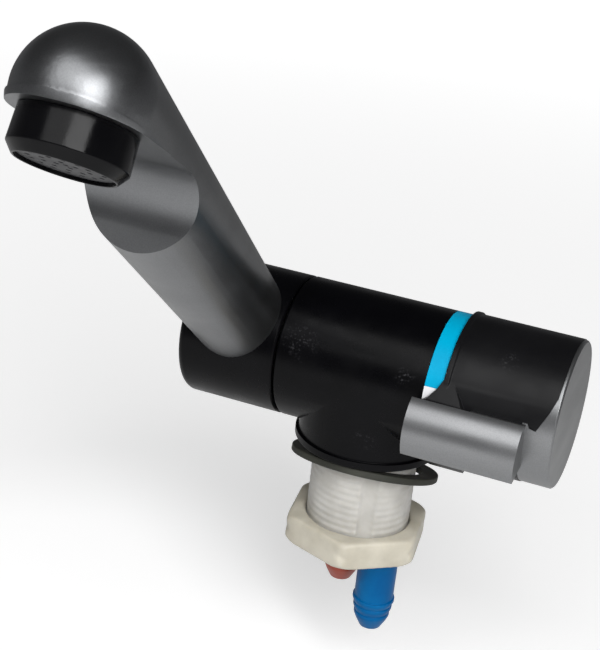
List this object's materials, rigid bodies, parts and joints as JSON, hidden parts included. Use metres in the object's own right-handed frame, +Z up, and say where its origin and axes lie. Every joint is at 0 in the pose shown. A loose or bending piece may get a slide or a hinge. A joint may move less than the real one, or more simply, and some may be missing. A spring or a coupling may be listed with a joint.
{
  "type": "folding spout mixer tap",
  "caption": "Folding-spout mixer tap: a horizontal body on a threaded stem, a spout that swings down over the sink, a lever knob for flow and mix, and barbed hose tails.",
  "frame": {"origin": "on the threaded stem's axis, at the underside of the foot where it meets the worktop", "axes": "+Z up along the stem's axis, +X along the body towards the lever knob, -Y the way the spout points"},
  "size_m": [0.0964, 0.1261, 0.1637],
  "materials": {
    "black_satin_plastic": "satin black moulded plastic with faint scuffs",
    "black_gloss_plastic": "glossy black moulded plastic",
    "aerator_grey": "dark grey perforated plastic",
    "satin_grey_metal": "satin grey metallic",
    "satin_silver_metal": "satin silver",
    "white_plastic": "white moulded plastic",
    "cyan_plastic": "bright cyan inlay",
    "red_plastic": "red moulded plastic",
    "dark_rubber": "dark olive grey flat rubber gasket",
    "ivory_plastic": "natural ivory moulded nylon",
    "blue_plastic": "blue moulded plastic",
    "seal_rubber": "black nitrile rubber",
    "valve_plastic": "grey acetal",
    "ceramic": "lapped white ceramic",
    "brass": "turned brass",
    "washer_plastic": "white slippery plastic",
    "steel": "stainless steel"
  },
  "bodies": {
    "tap_body": {"body_housing": "black_satin_plastic", "valve_block": "valve_plastic", "threaded_stem": "ivory_plastic", "stem_face_seal": "seal_rubber", "base_gasket": "dark_rubber", "cold_hose_tail": "blue_plastic", "hot_hose_tail": "red_plastic", "cold_tail_seal": "seal_rubber", "hot_tail_seal": "seal_rubber", "cartridge_base_seal": "seal_rubber", "cartridge_cup": "valve_plastic", "fixed_ceramic_disc": "ceramic", "retaining_collar": "brass", "indicator_ring": "white_plastic", "cold_band": "cyan_plastic", "hot_band": "red_plastic", "swivel_seals": "seal_rubber", "retaining_washer": "steel", "retaining_screw": "steel", "thrust_washer": "washer_plastic"},
    "spout": {"swivel_ring": "black_satin_plastic", "ring_end_cap": "black_satin_plastic", "spout_tube": "satin_grey_metal", "spout_liner": "washer_plastic", "liner_seal": "seal_rubber", "aerator_housing": "black_gloss_plastic", "aerator_insert": "aerator_grey", "aerator_seal": "seal_rubber"},
    "turret": {"mixer_turret": "valve_plastic", "lever_pivot_pin": "steel"},
    "lever": {"lever_stub": "brass", "knob_shell": "black_satin_plastic", "lever_handle": "satin_silver_metal", "knob_screw": "steel"},
    "ceramic_slider": {"moving_ceramic_disc": "ceramic"},
    "backnut": {"mounting_nut": "ivory_plastic"}
  },
  "joints": [
    {"name": "spout_fold", "type": "hinge", "parent": "tap_body", "child": "spout", "pos_m": [-0.0336, 0, 0.0201], "axis": [1, 0, 0], "range_deg": [-49, 38]},
    {"name": "mix", "type": "hinge", "parent": "tap_body", "child": "turret", "pos_m": [0.019, 0, 0.0201], "axis": [1, 0, 0], "range_deg": [-70, 20]},
    {"name": "flow", "type": "hinge", "parent": "turret", "child": "lever", "pos_m": [0.019, 0, 0.0201], "axis": [0, 0, 1], "range_deg": [0, 14]},
    {"name": "disc_slide", "type": "slide", "parent": "turret", "child": "ceramic_slider", "axis": [0, -1, 0], "range_m": [0, 0.0007]},
    {"name": "nut_travel", "type": "slide", "parent": "tap_body", "child": "backnut", "axis": [0, 0, 1], "range_m": [-0.04, 0.0065]}
  ],
  "couplings": [
    {"joint": "disc_slide", "follows": "flow", "m_per_rad": 0.00285}
  ]
}
